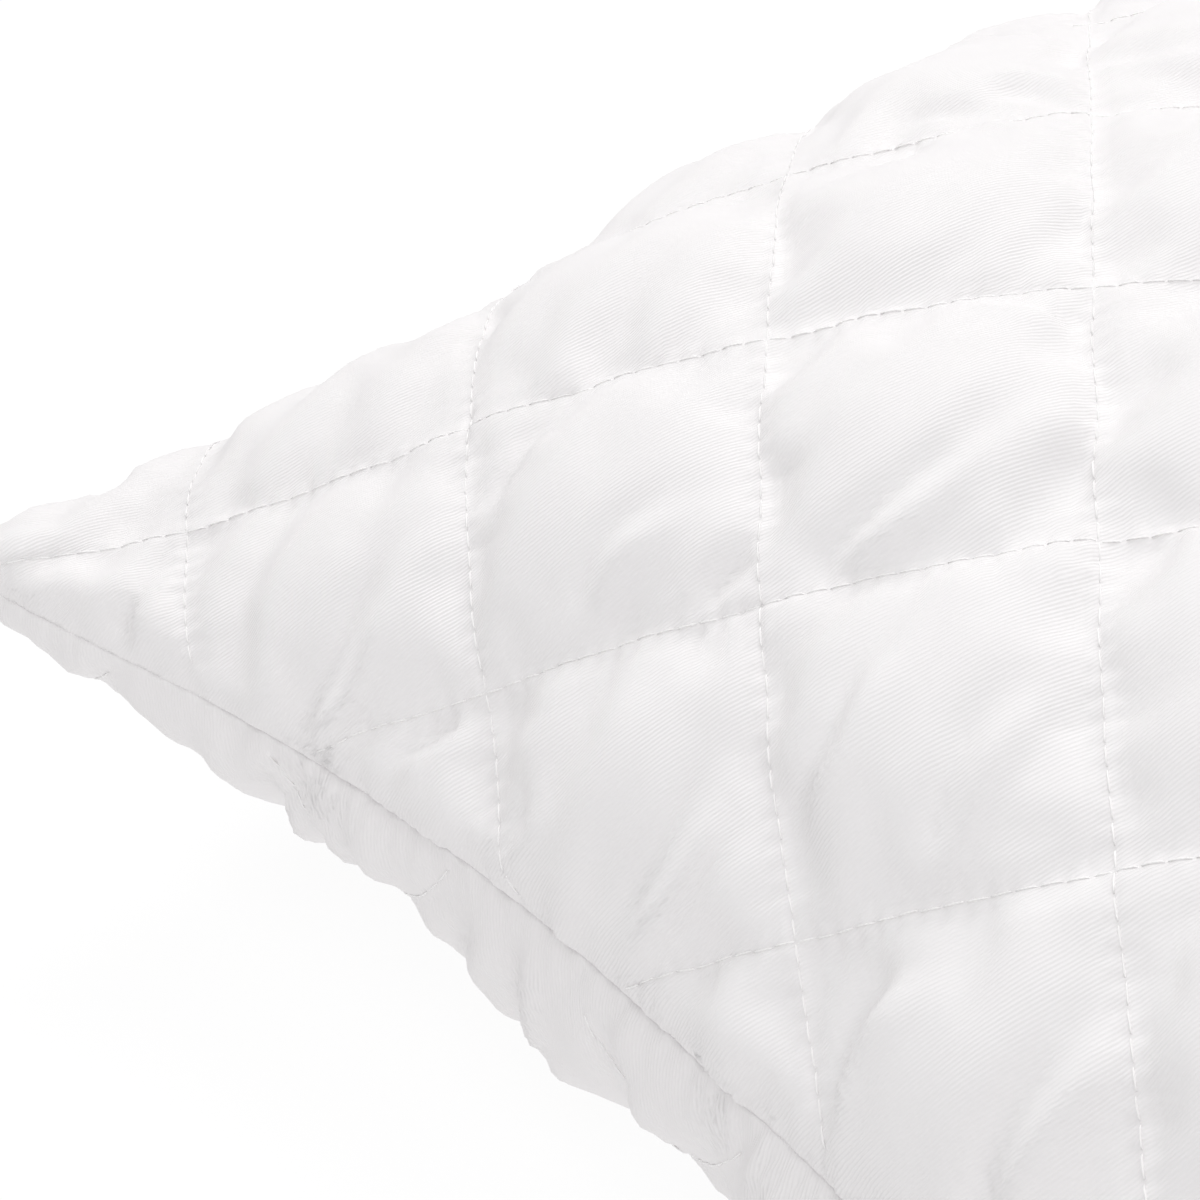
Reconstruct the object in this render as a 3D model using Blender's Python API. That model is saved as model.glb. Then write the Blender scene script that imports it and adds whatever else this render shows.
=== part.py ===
"""Quilted bed pillow: two diamond-quilted panels sewn edge to edge round a soft fibre fill.

Run with: blender --background --python part.py
Units are metres, +Z is up, +Y runs along the long side. The origin is under the middle of the
pillow, on the surface it rests on.

Each panel is laid out flat, in the (u, v) coordinates of its cut cloth, and then placed on the
filled pillow by the function "place".
"""

import math

import bmesh
import bpy
import numpy as np

# Size of the cover, measured flat from seam to seam
SHORT_SIDE = 0.500
LONG_SIDE = 0.700

# Quilting: square diamonds at 45 degrees to the sides
QUILT_SPACING = 0.0685
TOP_OFFSETS = (0.849, 0.124)      # where the two sets of lines start, in spacings from a corner
BOTTOM_OFFSETS = (0.587, 0.983)
CELL_LOFT = 0.009                 # height of a cell's middle above its stitched lines
CELL_ROUNDNESS = 0.6
CELL_PLATEAU = 0.30               # inset of a bottom cell's flat middle, in spacings

# Filled shape: rise of each panel from the seam, then how full and how steep it is
TOP_RISE = 0.1246
TOP_SHORT_CURVE = (3.17, 0.69)    # fullness and edge steepness across the short side
TOP_LONG_CURVE = (3.32, 1.13)
BOTTOM_DROP = 0.101
BOTTOM_SHORT_CURVE = (2.34, 0.77)
BOTTOM_LONG_CURVE = (3.49, 0.70)
SEAM_HEIGHT = 0.062               # seam above the resting surface, half way along a side
CORNER_LIFT = 0.020               # how much higher the seam is at a corner
CORNER_REACH = 0.180
RESTING_VALLEY = 0.004            # the bottom's stitched lines above the resting surface
EDGE_LIP = 0.008                  # half thickness of the padded edge beside the seam
EDGE_ROW = 0.014                  # width of the strip beside the seam that bends into the lip

# Layers of each panel, from the outside in
FACE_CLOTH = 0.0006
WADDING_AT_LINES = 0.0012
BACKING = 0.0004
LAYER_GAP = 0.0003
INNER_LAYER_INSET = 0.002         # how far the wadding and backing stop short of the seam
FILL_CLEARANCE = 0.0045           # room round the loose fill, over what its flat facets need

# Seam
SEAM_ALLOWANCE = 0.010
SEAM_SPLIT = 0.0005               # each turned-in edge's distance from the seam's middle plane
SEAM_THREAD = 0.0004
SEAM_THREAD_INSET = 0.0012
OVERLOCK_THREAD = 0.0010
QUILTING_THREAD = 0.0005
QUILTING_THREAD_LIFT = 0.0014
EDGE_RUN = 0.004                  # the run that secures the quilting ends, from the seam
CLOSING_LENGTH = 0.180
CLOSING_THREAD_INSET = 0.0002

# Label, caught in the closing side's seam
LABEL_WIDTH = 0.030
LABEL_LENGTH = 0.022
LABEL_THICKNESS = 0.0004
LABEL_FROM_MIDDLE = 0.120
LABEL_CLEAR = 0.0008

ARC_STEPS = 60
STEEPEST_COS = 0.22
RIM_STEP = 0.025
FILL_ROWS = 14

SIDES = {
    "top": {"sign": 1, "offsets": TOP_OFFSETS},
    "bottom": {"sign": -1, "offsets": BOTTOM_OFFSETS},
}


# ---------------------------------------------------------------- shape of the filled pillow

def crown(position, length, curve):
    """Height across one side as a share of the full height: 0 at the seams, 1 in the middle."""
    fullness, steepness = curve
    from_middle = np.clip(np.abs(1 - 2 * position / length), 0, 1)
    return (1 - from_middle ** fullness) ** steepness


def edge_distance(u, v):
    """Flat distance from the nearest seam."""
    return np.minimum(np.minimum(u, SHORT_SIDE - u), np.minimum(v, LONG_SIDE - v))


def seam_height(u, v):
    """Height of the seam's middle plane, which lifts towards the corners."""
    def lift(position, length):
        middle = length / 2
        return np.cosh((position - middle) / CORNER_REACH) / math.cosh(middle / CORNER_REACH)
    return SEAM_HEIGHT + CORNER_LIFT * lift(u, SHORT_SIDE) * lift(v, LONG_SIDE)


def panel_height(u, v, side, depth=0.0):
    """Height of a panel's stitched lines, or of a layer that lies "depth" inside them."""
    strip = np.clip(edge_distance(u, v) / EDGE_ROW, 0, 1)
    lip = (EDGE_LIP - depth) * np.sin(strip * math.pi / 2)
    lip = np.maximum(lip, 0)
    if side == "top":
        bulge = (TOP_RISE - depth) * crown(u, SHORT_SIDE, TOP_SHORT_CURVE)
        bulge = bulge * crown(v, LONG_SIDE, TOP_LONG_CURVE)
        return seam_height(u, v) + np.hypot(bulge, lip)
    bulge = (BOTTOM_DROP - depth) * crown(u, SHORT_SIDE, BOTTOM_SHORT_CURVE)
    bulge = bulge * crown(v, LONG_SIDE, BOTTOM_LONG_CURVE)
    return np.maximum(seam_height(u, v) - np.hypot(bulge, lip), RESTING_VALLEY + depth)


def drawn_in(u, v, side, across_u):
    """Distance from the middle line in plan: cloth that climbs reaches less far sideways."""
    length = SHORT_SIDE if across_u else LONG_SIDE
    start = u if across_u else v
    near = np.minimum(start, length - start)
    share = np.linspace(0, 1, ARC_STEPS + 1)
    path = near[:, None] + (length / 2 - near)[:, None] * share
    if across_u:
        height = panel_height(path, v[:, None], side)
    else:
        height = panel_height(u[:, None], path, side)
    step = (length / 2 - near)[:, None] / ARC_STEPS
    slope = np.diff(height, axis=1) / np.maximum(step, 1e-9)
    level = np.sqrt(np.clip(1 - slope ** 2, STEEPEST_COS ** 2, 1))
    return (level * step).sum(axis=1)


def place(u, v, side, depth=0.0):
    """Positions on the filled pillow of flat points (u, v), "depth" inside the stitched lines."""
    u = np.asarray(u, float)
    v = np.asarray(v, float)
    none = np.zeros_like(u)
    plan = []
    for across_u, length, position in ((True, SHORT_SIDE, u), (False, LONG_SIDE, v)):
        rim_u, rim_v = (none, v) if across_u else (u, none)
        half = drawn_in(rim_u, rim_v, "top", across_u)
        share = drawn_in(u, v, side, across_u) / drawn_in(rim_u, rim_v, side, across_u)
        plan.append(np.sign(position - length / 2) * (half - depth) * share)
    return np.stack([plan[0], plan[1], panel_height(u, v, side, depth)], axis=1)


def line_position(u, v, side):
    """Position across the two sets of quilting lines, in spacings: whole numbers are on a line."""
    first, second = SIDES[side]["offsets"]
    along = (u + v) / math.sqrt(2) / QUILT_SPACING - first
    across = (u - v) / math.sqrt(2) / QUILT_SPACING - second
    return along, across


def loft(u, v, side):
    """Height of the padding above the stitched lines."""
    along, across = line_position(u, v, side)
    cell = np.abs(np.sin(math.pi * along) * np.sin(math.pi * across)) ** CELL_ROUNDNESS
    return CELL_LOFT * cell * np.clip(edge_distance(u, v) / EDGE_ROW, 0, 1)


# ---------------------------------------------------------------- flat patterns

def flat_rectangle():
    """The cut cloth from seam to seam, with u along X and v along Y."""
    bm = bmesh.new()
    bmesh.ops.create_grid(bm, x_segments=1, y_segments=1, size=0.5)
    for vert in bm.verts:
        vert.co.x = (vert.co.x + 0.5) * SHORT_SIDE
        vert.co.y = (vert.co.y + 0.5) * LONG_SIDE
    return bm


def cut(bm, point, normal):
    """Cut a flat pattern along a straight line."""
    geometry = bm.verts[:] + bm.edges[:] + bm.faces[:]
    bmesh.ops.bisect_plane(bm, geom=geometry, dist=1e-7, plane_co=point, plane_no=normal)


def quilting_lines(side):
    """Each line as a point on it and its normal, in the flat pattern."""
    lines = []
    half = math.sqrt(0.5)
    reach = (SHORT_SIDE + LONG_SIDE) * half / QUILT_SPACING
    for offset, normal in zip(SIDES[side]["offsets"], ((half, half, 0), (half, -half, 0))):
        for number in range(-math.ceil(reach), math.ceil(reach) + 1):
            distance = (offset + number) * QUILT_SPACING
            lines.append(((normal[0] * distance, normal[1] * distance, 0), normal))
    return lines


def cut_edge_rows(bm, distance):
    """Cut a line at the same distance from each of the four seams."""
    for position in (distance, SHORT_SIDE - distance):
        cut(bm, (position, 0, 0), (1, 0, 0))
    for position in (distance, LONG_SIDE - distance):
        cut(bm, (0, position, 0), (0, 1, 0))


def divide_rim(bm):
    """Divide the long edges of a pattern's rim, so that it can follow the curved seam."""
    for edge in [edge for edge in bm.edges if edge.is_boundary]:
        pieces = math.ceil(edge.calc_length() / RIM_STEP)
        if pieces > 1:
            bmesh.ops.subdivide_edges(bm, edges=[edge], cuts=pieces - 1)


def panel_pattern(side):
    """Flat panel cut along its quilting lines, with a raised middle in each cell."""
    bm = flat_rectangle()
    for point, normal in quilting_lines(side):
        cut(bm, point, normal)
    cut_edge_rows(bm, EDGE_ROW)
    bmesh.ops.remove_doubles(bm, verts=bm.verts[:], dist=0.0001)
    cell_area = QUILT_SPACING ** 2
    whole = [face for face in bm.faces if face.calc_area() > 0.99 * cell_area]
    part = [face for face in bm.faces if 0.3 * cell_area < face.calc_area() <= 0.99 * cell_area]
    if side == "bottom":
        bmesh.ops.inset_individual(
            bm, faces=whole, thickness=CELL_PLATEAU * QUILT_SPACING, use_even_offset=True
        )
        bmesh.ops.poke(bm, faces=part)
    else:
        bmesh.ops.poke(bm, faces=whole + part)
    divide_rim(bm)
    bmesh.ops.triangulate(bm, faces=bm.faces[:])
    return bm


def net_pattern(side):
    """Flat net of narrow strips: the quilting lines, joined by the run along the seam."""
    bm = flat_rectangle()
    half = QUILTING_THREAD / 2
    for point, normal in quilting_lines(side):
        for shift in (-half, half):
            moved = [point[axis] + normal[axis] * shift for axis in range(3)]
            cut(bm, moved, normal)
    cut_edge_rows(bm, EDGE_RUN - half)
    cut_edge_rows(bm, EDGE_RUN + half)
    cut_edge_rows(bm, EDGE_ROW)
    unwanted = []
    for face in bm.faces:
        middle = face.calc_center_median()
        off_line = min(
            abs(position - round(position)) * QUILT_SPACING
            for position in line_position(middle.x, middle.y, side)
        )
        from_seam = float(edge_distance(middle.x, middle.y))
        on_run = abs(from_seam - EDGE_RUN) < half
        on_line = off_line < half and from_seam > EDGE_RUN
        if not (on_run or on_line):
            unwanted.append(face)
    bmesh.ops.delete(bm, geom=unwanted, context="FACES")
    return bm


# ---------------------------------------------------------------- objects

def material(name, colour, roughness):
    made = bpy.data.materials.new(name)
    made.use_nodes = True
    shader = made.node_tree.nodes["Principled BSDF"]
    shader.inputs["Base Color"].default_value = (*colour, 1)
    shader.inputs["Roughness"].default_value = roughness
    shader.inputs["Metallic"].default_value = 0
    return made


def add_object(name, data, finish, collection):
    made = bpy.data.objects.new(name, data)
    data.materials.append(finish)
    collection.objects.link(made)
    return made


def mesh_from(bm, name):
    bmesh.ops.recalc_face_normals(bm, faces=bm.faces[:])
    if bm.calc_volume(signed=True) < 0:
        bmesh.ops.reverse_faces(bm, faces=bm.faces[:])
    mesh = bpy.data.meshes.new(name)
    bm.to_mesh(mesh)
    bm.free()
    mesh.shade_smooth()
    return mesh


def flat_points(bm):
    flat = np.array([vert.co[:2] for vert in bm.verts])
    return flat[:, 0], flat[:, 1]


def move_to(bm, points):
    for vert, point in zip(bm.verts, points):
        vert.co = point
    bm.normal_update()


def outward_normals(side, bm):
    """Normals of the unpadded panel at the pattern's points, facing out of the pillow."""
    placed = bm.copy()
    move_to(placed, place(*flat_points(bm), side))
    normals = np.array([vert.normal[:] for vert in placed.verts])
    placed.free()
    if normals[:, 2].sum() * SIDES[side]["sign"] < 0:
        normals = -normals
    return normals


def layer_points(bm, side, depth, padded, rim_clear, rim_inset=0.0):
    """Place a pattern's points on one layer, whose rim is rim_clear off the seam's plane."""
    u, v = flat_points(bm)
    outwards = loft(u, v, side) * padded - depth
    points = place(u, v, side) + outward_normals(side, bm) * outwards[:, None]
    rim = edge_distance(u, v) < 1e-6
    points[rim] = place(u[rim], v[rim], side, depth + rim_inset)
    middle = seam_height(u, v)
    if side == "top":
        points[:, 2] = np.maximum(points[:, 2], middle + rim_clear)
    else:
        points[:, 2] = np.minimum(points[:, 2], middle - rim_clear)
        points[:, 2] = np.maximum(points[:, 2], depth)
    return points


def close_layer(bm, outer_points, inner_points):
    """Turn a flat pattern into a solid between its outer and its inner points."""
    source = bm.verts.layers.int.new("source")
    for number, vert in enumerate(bm.verts):
        vert[source] = number
    grown = bmesh.ops.extrude_face_region(bm, geom=bm.faces[:], use_keep_orig=True)
    inner = {item for item in grown["geom"] if isinstance(item, bmesh.types.BMVert)}
    for vert in bm.verts:
        points = inner_points if vert in inner else outer_points
        vert.co = points[vert[source]]
    bmesh.ops.triangulate(bm, faces=bm.faces[:])


def add_face_cloth(side, finish, collection):
    """The face cloth turns in along the seam, and its edge lies flat as the seam allowance."""
    bm = panel_pattern(side)
    surfaces = [
        layer_points(bm, side, depth, True, SEAM_SPLIT + depth) for depth in (0, FACE_CLOTH)
    ]
    rim = [edge for edge in bm.edges if edge.is_boundary]
    grown = bmesh.ops.extrude_edge_only(bm, edges=rim)
    turned = [item for item in grown["geom"] if isinstance(item, bmesh.types.BMVert)]
    flat = np.array([vert.co[:2] for vert in turned])
    bm.verts.index_update()
    for number, depth in enumerate((0, FACE_CLOTH)):
        edge = place(flat[:, 0], flat[:, 1], side, SEAM_ALLOWANCE)
        clear = SIDES[side]["sign"] * (SEAM_SPLIT + depth)
        edge[:, 2] = seam_height(flat[:, 0], flat[:, 1]) + clear
        surfaces[number] = np.vstack([surfaces[number], edge])
    close_layer(bm, *surfaces)
    name = side + "_face_cloth"
    add_object(name, mesh_from(bm, name), finish, collection)


def inner_rim(depth):
    """Height of an inner layer's rim over the seam's middle: it stands on the turned edge."""
    return SEAM_SPLIT + FACE_CLOTH + LAYER_GAP + depth / 4


def add_inner_layer(name, side, depth, thickness, padded, finish, collection):
    """A wadding or backing layer: its outside may be padded, and its inside is smooth."""
    bm = panel_pattern(side)
    inner_depth = depth + thickness
    outer = layer_points(bm, side, depth, padded, inner_rim(depth), INNER_LAYER_INSET)
    inner = layer_points(bm, side, inner_depth, False, inner_rim(inner_depth), INNER_LAYER_INSET)
    close_layer(bm, outer, inner)
    add_object(name, mesh_from(bm, name), finish, collection)


def wadding_depth():
    return FACE_CLOTH + LAYER_GAP


def backing_depth():
    return wadding_depth() + WADDING_AT_LINES + LAYER_GAP


def add_quilting_thread(side, finish, collection):
    """The thread lies in the valleys between the cells, just clear of the face cloth."""
    bm = net_pattern(side)
    bmesh.ops.triangulate(bm, faces=bm.faces[:])
    placed = place(*flat_points(bm), side)
    outwards = outward_normals(side, bm)
    outer = placed + outwards * (QUILTING_THREAD_LIFT + QUILTING_THREAD)
    inner = placed + outwards * QUILTING_THREAD_LIFT
    close_layer(bm, outer, inner)
    name = side + "_quilting_thread"
    add_object(name, mesh_from(bm, name), finish, collection)


def rim_points(inset):
    """Points round the pillow on the seam's middle plane, "inset" inside the seam line."""
    across = round(SHORT_SIDE / RIM_STEP)
    along = round(LONG_SIDE / RIM_STEP)
    u_run = np.linspace(0, SHORT_SIDE, across, endpoint=False)
    v_run = np.linspace(0, LONG_SIDE, along, endpoint=False)
    u = np.concatenate([u_run, v_run * 0 + SHORT_SIDE, SHORT_SIDE - u_run, v_run * 0])
    v = np.concatenate([u_run * 0, v_run, u_run * 0 + LONG_SIDE, LONG_SIDE - v_run])
    points = place(u, v, "top", inset)
    points[:, 2] = seam_height(u, v)
    return points


def add_thread(name, points, thickness, closed, finish, collection):
    """A round thread through a list of points."""
    curve = bpy.data.curves.new(name, "CURVE")
    curve.dimensions = "3D"
    curve.bevel_depth = thickness / 2
    curve.bevel_resolution = 0
    curve.use_fill_caps = not closed
    spline = curve.splines.new("POLY")
    spline.points.add(len(points) - 1)
    for spot, point in zip(spline.points, points):
        spot.co = (*point, 1)
    spline.use_cyclic_u = closed
    add_object(name, curve, finish, collection)


def add_closing_thread(finish, collection):
    """The straight run that closes the filling gap, in the middle of the far short side."""
    steps = round(CLOSING_LENGTH / RIM_STEP) + 1
    u = np.linspace((SHORT_SIDE - CLOSING_LENGTH) / 2, (SHORT_SIDE + CLOSING_LENGTH) / 2, steps)
    v = np.full_like(u, LONG_SIDE)
    points = place(u, v, "top", CLOSING_THREAD_INSET)
    points[:, 2] = seam_height(u, v)
    add_thread("closing_thread", points, SEAM_THREAD, False, finish, collection)


def add_label(finish, collection):
    """A small blank label that stands out of the far short side's seam, square to it."""
    middle = SHORT_SIDE / 2 - LABEL_FROM_MIDDLE
    u = np.array([middle - LABEL_WIDTH / 2, middle, middle + LABEL_WIDTH / 2])
    v = np.full(3, LONG_SIDE)
    left, root, right = place(u, v, "top")
    heights = seam_height(u, v)
    turn = math.atan2(right[1] - left[1], right[0] - left[0])
    bm = bmesh.new()
    bmesh.ops.create_cube(bm, size=1)
    bmesh.ops.scale(bm, vec=(LABEL_WIDTH, LABEL_LENGTH, LABEL_THICKNESS), verts=bm.verts[:])
    bmesh.ops.translate(bm, vec=(0, LABEL_CLEAR + LABEL_LENGTH / 2, 0), verts=bm.verts[:])
    mesh = mesh_from(bm, "care_label")
    label = add_object("care_label", mesh, finish, collection)
    label.location = (root[0], root[1], heights[1])
    label.rotation_euler = (0, 0, turn)


def fill_gap():
    """Room round the fill: a fuller pillow curves more, and its facets stand further off it."""
    facet_sag = 0.5 * QUILT_SPACING ** 2 * TOP_RISE / (SHORT_SIDE / 2) ** 2
    return FILL_CLEARANCE + facet_sag


def add_fill(finish, collection):
    """The loose fibre: a domed top and bottom that meet in a belt inside the overlocked edge."""
    gap = fill_gap()
    depth = backing_depth() + BACKING + gap
    belt = SEAM_ALLOWANCE + LAYER_GAP + OVERLOCK_THREAD + gap
    bm = bmesh.new()
    halves = {}
    for side, facts in SIDES.items():
        rows = round(FILL_ROWS * LONG_SIDE / SHORT_SIDE)
        grid = bmesh.new()
        bmesh.ops.create_grid(grid, x_segments=FILL_ROWS, y_segments=rows, size=0.5)
        for vert in grid.verts:
            vert.co.x = belt + (vert.co.x + 0.5) * (SHORT_SIDE - 2 * belt)
            vert.co.y = belt + (vert.co.y + 0.5) * (LONG_SIDE - 2 * belt)
        points = place(*flat_points(grid), side, depth)
        middle = seam_height(*flat_points(grid))
        if side == "top":
            points[:, 2] = np.maximum(points[:, 2], middle + gap / 2)
        else:
            points[:, 2] = np.minimum(points[:, 2], middle - gap / 2)
        move_to(grid, points)
        mesh = bpy.data.meshes.new("fill_" + side)
        grid.to_mesh(mesh)
        grid.free()
        bm.from_mesh(mesh)
        halves[side] = mesh
    rims = [edge for edge in bm.edges if edge.is_boundary]
    bmesh.ops.bridge_loops(bm, edges=rims)
    bmesh.ops.triangulate(bm, faces=bm.faces[:])
    for mesh in halves.values():
        bpy.data.meshes.remove(mesh)
    add_object("fibre_fill", mesh_from(bm, "fibre_fill"), finish, collection)


def build():
    for old in list(bpy.data.objects):
        bpy.data.objects.remove(old)
    collection = bpy.data.collections.new("quilted_bed_pillow")
    bpy.context.scene.collection.children.link(collection)
    cotton = {side: material(side + "_cotton", (0.93, 0.93, 0.935), 0.85) for side in SIDES}
    wadding = {side: material(side + "_wadding", (0.95, 0.95, 0.95), 0.95) for side in SIDES}
    backing = {side: material(side + "_backing", (0.88, 0.88, 0.88), 0.9) for side in SIDES}
    thread = {side: material(side + "_thread", (0.96, 0.96, 0.96), 0.6) for side in SIDES}
    for side in SIDES:
        add_face_cloth(side, cotton[side], collection)
        add_inner_layer(
            side + "_wadding", side, wadding_depth(), WADDING_AT_LINES, True,
            wadding[side], collection,
        )
        add_inner_layer(
            side + "_backing", side, backing_depth(), BACKING, False,
            backing[side], collection,
        )
        add_quilting_thread(side, thread[side], collection)
    add_fill(material("fibre", (0.97, 0.97, 0.97), 1.0), collection)
    seam_finish = material("seam_thread", (0.95, 0.95, 0.95), 0.6)
    add_thread(
        "edge_seam_thread", rim_points(SEAM_THREAD_INSET), SEAM_THREAD, True,
        seam_finish, collection,
    )
    overlock_inset = SEAM_ALLOWANCE + LAYER_GAP + OVERLOCK_THREAD / 2
    add_thread(
        "overlock_thread", rim_points(overlock_inset), OVERLOCK_THREAD, True,
        material("overlock_thread", (0.94, 0.94, 0.94), 0.7), collection,
    )
    add_closing_thread(material("closing_thread", (0.95, 0.95, 0.95), 0.6), collection)
    add_label(material("label_satin", (0.9, 0.9, 0.89), 0.5), collection)


build()
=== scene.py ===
import math

import bmesh
import bpy
import numpy as np
from mathutils import Matrix, Quaternion, Vector


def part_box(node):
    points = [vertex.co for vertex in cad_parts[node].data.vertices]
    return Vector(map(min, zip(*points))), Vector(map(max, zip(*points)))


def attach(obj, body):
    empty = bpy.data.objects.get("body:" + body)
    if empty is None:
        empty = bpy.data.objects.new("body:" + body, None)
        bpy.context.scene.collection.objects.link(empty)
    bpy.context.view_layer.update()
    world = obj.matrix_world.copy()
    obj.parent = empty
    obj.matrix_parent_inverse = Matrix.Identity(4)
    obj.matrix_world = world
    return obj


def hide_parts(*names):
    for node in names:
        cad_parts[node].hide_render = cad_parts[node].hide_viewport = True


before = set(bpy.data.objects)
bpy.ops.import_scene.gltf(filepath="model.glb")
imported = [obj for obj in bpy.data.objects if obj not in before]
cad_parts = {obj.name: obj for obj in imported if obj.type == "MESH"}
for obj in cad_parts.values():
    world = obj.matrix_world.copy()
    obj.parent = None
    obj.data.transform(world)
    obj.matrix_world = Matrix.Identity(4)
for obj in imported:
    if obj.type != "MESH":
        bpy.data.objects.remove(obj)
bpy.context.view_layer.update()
scene = bpy.context.scene

# the cover laid flat, and how the filled pillow bulges
cover = {
    "shortSide": 0.500,
    "longSide": 0.700,
    "quiltSpacing": 0.0685,
    "stitchesPerCell": 14,
    "topStart": (0.849, 0.124),      # where the two sets of quilting lines start
    "bottomStart": (0.587, 0.983),
    "topShort": (3.17, 0.69),        # fullness and edge steepness
    "topLong": (3.32, 1.13),
    "bottomShort": (2.34, 0.77),
    "bottomLong": (3.49, 0.70),
    "bottomDrop": 0.101,
    "cornerLift": 0.020,
    "cornerReach": 0.180,
    "seamNudge": 0.0002,             # the cloth's edge over the frame's seam thread
    "valley": 0.0045,                # stitched lines over the table
    "valleyBlend": 0.006,
    "lip": 0.008,
    "lipWidth": 0.014,
    "loft": 0.009,
    "loftAtCrown": 0.8,              # share of the loft that the frame's height takes in
    "seamBand": 0.0012,              # cloth this near the edge belongs to the seam
}
cell = cover["quiltSpacing"]
shortSide, longSide = cover["shortSide"], cover["longSide"]

# heights come from the frame
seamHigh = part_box("edge_seam_thread")[1]
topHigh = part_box("top_face_cloth")[1]
seamMiddle = (seamHigh.z - cover["cornerLift"]) + cover["seamNudge"]
topRise = topHigh.z - cover["loft"] * cover["loftAtCrown"] - seamMiddle


def crownShare(position, length, curve):
    fullness, steepness = curve
    fromMiddle = np.clip(np.abs(1 - 2 * position / length), 0, 1)
    return np.maximum(1 - fromMiddle ** fullness, 0) ** steepness


def fromSeam(u, v):
    return np.minimum(np.minimum(u, shortSide - u), np.minimum(v, longSide - v))


def seamHeight(u, v):
    def lift(position, length):
        reach = cover["cornerReach"]
        return np.cosh((position - length / 2) / reach) / math.cosh(length / 2 / reach)
    return seamMiddle + cover["cornerLift"] * lift(u, shortSide) * lift(v, longSide)


def smoothMax(value, floorLevel, blend):
    above = value - floorLevel
    return floorLevel + (above + np.sqrt(above ** 2 + blend ** 2)) / 2


def panelHeight(u, v, side):
    strip = np.clip(fromSeam(u, v) / cover["lipWidth"], 0, 1)
    lip = cover["lip"] * np.sin(strip * math.pi / 2)
    rise = topRise if side == "top" else cover["bottomDrop"]
    bulge = rise * crownShare(u, shortSide, cover[side + "Short"])
    bulge = np.hypot(bulge * crownShare(v, longSide, cover[side + "Long"]), lip)
    if side == "top":
        return seamHeight(u, v) + bulge
    return smoothMax(seamHeight(u, v) - bulge, cover["valley"], cover["valleyBlend"])


def drawnIn(u, v, side, acrossU):
    # how far the cloth reaches sideways: less where it climbs
    steps, steepest = 60, 0.05
    length = shortSide if acrossU else longSide
    start = u if acrossU else v
    near = np.minimum(start, length - start)
    reach = length / 2 - near
    path = near[:, None] + reach[:, None] * np.linspace(0, 1, steps + 1)
    if acrossU:
        height = panelHeight(path, v[:, None], side)
    else:
        height = panelHeight(u[:, None], path, side)
    step = reach[:, None] / steps
    slope = np.diff(height, axis=1) / np.maximum(step, 1e-9)
    return (np.sqrt(np.clip(1 - slope ** 2, steepest, 1)) * step).sum(axis=1)


def placePanel(u, v, side):
    # from the flat cover to the filled pillow
    rim = np.zeros_like(u)
    plan = []
    for acrossU, length, position in ((True, shortSide, u), (False, longSide, v)):
        rimU, rimV = (rim, v) if acrossU else (u, rim)
        half = drawnIn(rimU, rimV, "top", acrossU)
        share = drawnIn(u, v, side, acrossU) / drawnIn(rimU, rimV, side, acrossU)
        plan.append(np.sign(position - length / 2) * half * share)
    return np.stack([plan[0], plan[1], panelHeight(u, v, side)], axis=1)


def linePosition(u, v, side):
    # in cells; whole numbers are on a quilting line
    first, second = cover[side + "Start"]
    return (u + v) / math.sqrt(2) / cell - first, (u - v) / math.sqrt(2) / cell - second


def flatFromLines(along, across, side):
    first, second = cover[side + "Start"]
    total, difference = (along + first) * cell, (across + second) * cell
    return (total + difference) / math.sqrt(2), (total - difference) / math.sqrt(2)


def fromLine(position):
    # signed distance to the nearest line of a set, in metres
    return (position - np.round(position)) * cell


def smoothNoise(x, y, seed):
    # value noise, from -1 to 1
    size = 256
    table = np.random.default_rng(seed).uniform(-1, 1, (size, size))
    cellX, cellY = np.floor(x).astype(int), np.floor(y).astype(int)
    partX, partY = x - cellX, y - cellY
    partX, partY = (p * p * (3 - 2 * p) for p in (partX, partY))
    corners = [table[(cellX + i) % size, (cellY + j) % size] for i in (0, 1) for j in (0, 1)]
    low = corners[0] * (1 - partX) + corners[2] * partX
    high = corners[1] * (1 - partX) + corners[3] * partX
    return low * (1 - partY) + high * partY


# a panel is laid out along its quilting, shaped, simulated, then sewn down
panel = {
    "rowsPerCell": 14,
    "marginRows": 1.5,        # lattice laid out past the cut edge
    "trim": 0.0011,           # a point this near the cut is drawn onto it
    "weld": 0.0009,
    "sliver": 0.0001,
    "puffCurve": 0.72,        # lower is fuller at the stitching
    "lipCurve": 0.7,
    "startLoft": 0.5,         # the rest comes from the simulation
    "ease": 0.052,            # extra cloth in each cell
    "pointMass": 0.0006,
    "stiffness": 5,
    "shear": 1,
    "bending": 0.00002,
    "pressure": 9.0,
    "frames": 22,
    "mostMovement": 0.014,
    "sewnWidth": 0.0003,
    "fineRows": 1.2,          # rows beside a line that are made finer
    "fineBySeam": 0.0052,
    "tableGap": 0.0002,
    "tableBlend": 0.0012,
    "bakeUV": "OFBake",
    "bakeWidth": 0.72,
    "bakeMargin": 0.01,
}


def newObject(name, mesh):
    thing = bpy.data.objects.new(name, mesh)
    scene.collection.objects.link(thing)
    return thing


def meshPoints(mesh):
    points = np.zeros(len(mesh.vertices) * 3)
    mesh.vertices.foreach_get("co", points)
    return points.reshape(-1, 3)


def meshNormals(mesh):
    normals = np.zeros(len(mesh.vertices) * 3)
    mesh.vertex_normals.foreach_get("vector", normals)
    return normals.reshape(-1, 3)


def setPoints(mesh, points):
    mesh.vertices.foreach_set("co", np.asarray(points, np.float32).ravel())
    mesh.update()


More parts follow.
